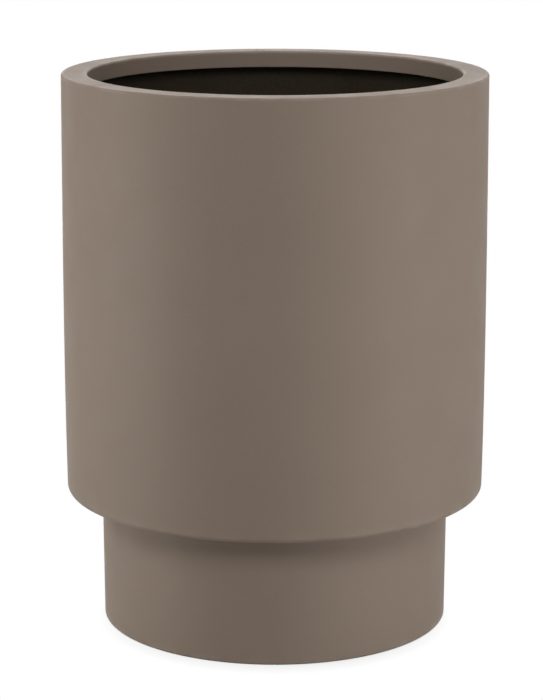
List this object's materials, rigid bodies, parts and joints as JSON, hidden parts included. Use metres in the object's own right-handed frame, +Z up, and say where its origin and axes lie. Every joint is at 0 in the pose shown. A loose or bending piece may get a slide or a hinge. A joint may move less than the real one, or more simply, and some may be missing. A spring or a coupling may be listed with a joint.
{
  "type": "tall fiberglass planter",
  "caption": "Tall round stepped laminate floor planter: a drum with a rolled flat rim on a set-back plinth, with a dished floor, a drain and a lift-out drain plug.",
  "frame": {"origin": "centre of the planter's axis on the ground, under the rubber pads", "axes": "+Z up along the planter's axis, +X towards the first bolt and the first pad"},
  "size_m": [0.4586, 0.4586, 0.6],
  "materials": {
    "taupe_paint": "satin taupe paint on fibre-reinforced laminate, fine orange peel",
    "black_flowcoat": "brushed black coat over chopped-strand laminate, satin",
    "bonding_paste": "bonding paste, sanded flush and painted over",
    "black_rubber": "matt moulded rubber",
    "grey_pvc": "satin turned and moulded plastic",
    "stainless": "plain stainless fasteners"
  },
  "bodies": {
    "planter": {"drum_shell": "taupe_paint", "rim_ring": "taupe_paint", "rim_bond": "bonding_paste", "floor_panel": "black_flowcoat", "floor_tabbing": "black_flowcoat", "drain_sleeve": "grey_pvc", "plinth_shell": "taupe_paint", "joint_gasket": "black_rubber", "joint_bolts": "stainless", "seal_washers": "black_rubber", "upper_washers": "stainless", "lower_washers": "stainless", "lock_nuts": "stainless", "foot_pads": "black_rubber"},
    "plug": {"drain_plug": "black_rubber"}
  },
  "joints": [
    {"name": "plug_lift", "type": "slide", "parent": "planter", "child": "plug", "axis": [0, 0, 1], "range_m": [0, 0.5]}
  ]
}
